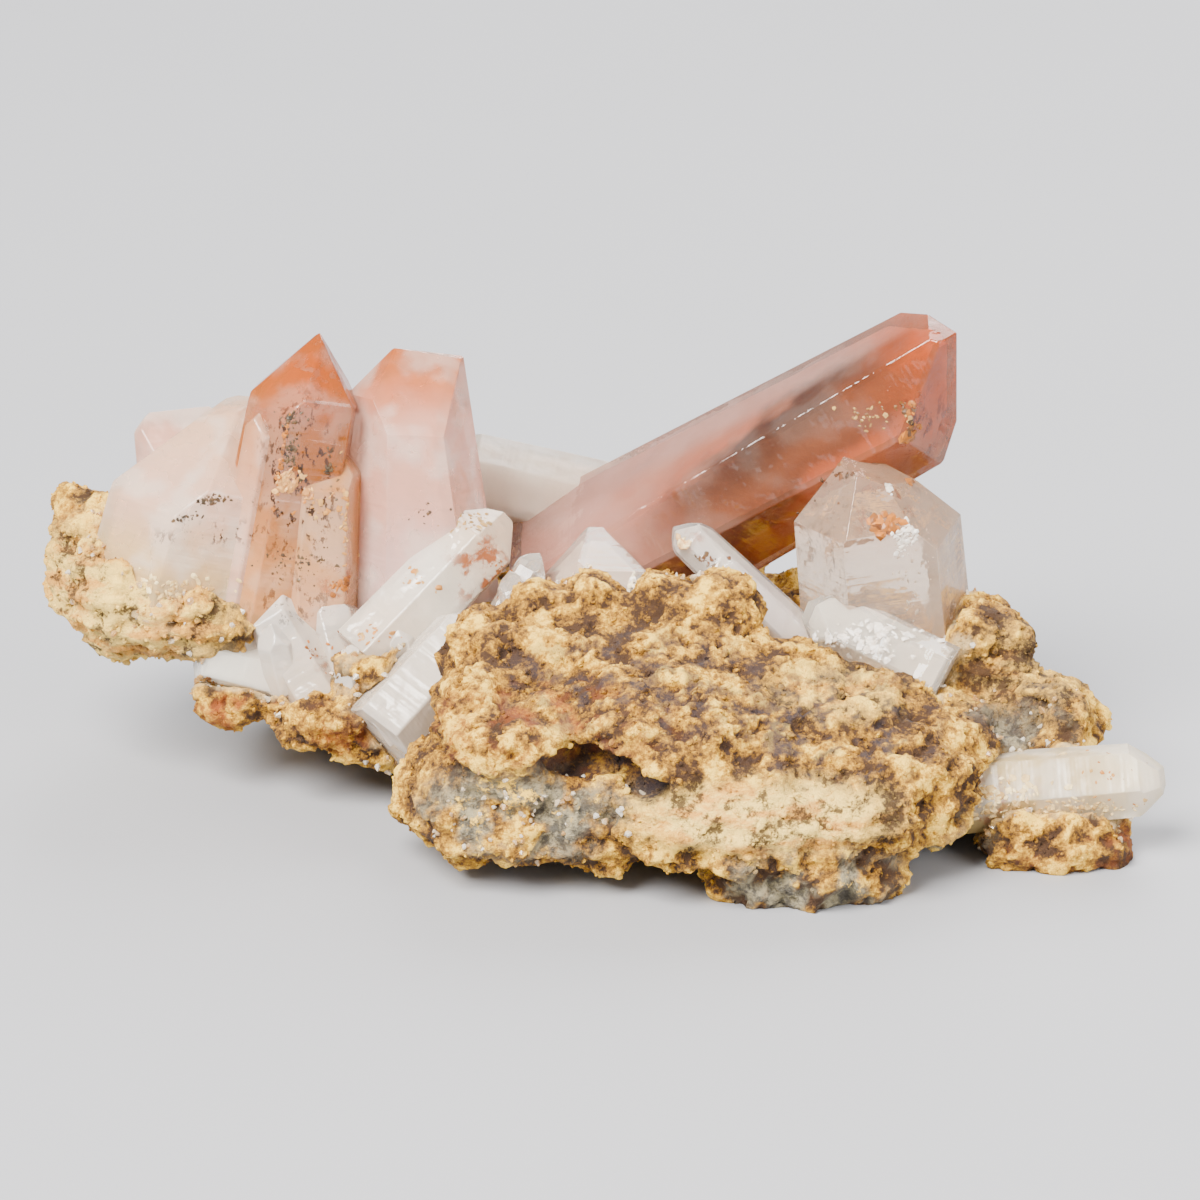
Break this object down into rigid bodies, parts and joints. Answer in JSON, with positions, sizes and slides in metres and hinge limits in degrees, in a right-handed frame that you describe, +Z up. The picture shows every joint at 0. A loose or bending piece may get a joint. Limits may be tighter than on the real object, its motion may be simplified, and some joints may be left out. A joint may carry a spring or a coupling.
{
  "type": "amethyst cluster",
  "caption": "Cluster of pale pink, clear and orange-stained quartz crystals on a thin plate of ochre-crusted rock.",
  "frame": {"origin": "centre of the bounding box, on the table", "axes": "+Z up, +X to the viewer's right along the specimen's length, -Y towards the viewer of the picture"},
  "size_m": [0.0596, 0.0335, 0.0249],
  "materials": {
    "ochre_rock": "crumbly ochre and cream crust over grey quartz, matt with fine sparkle",
    "pale_quartz": "polished crystal faces, milky pink, orange at the tips",
    "salmon_quartz": "polished crystal faces, the long one transparent salmon to brown, the stubby ones clear",
    "clear_quartz": "polished crystal faces, nearly colourless"
  },
  "bodies": {
    "root": {"matrix": "ochre_rock", "left_crystal_cluster": "pale_quartz", "right_crystal_cluster": "salmon_quartz", "lying_prism": "clear_quartz"}
  },
  "joints": []
}
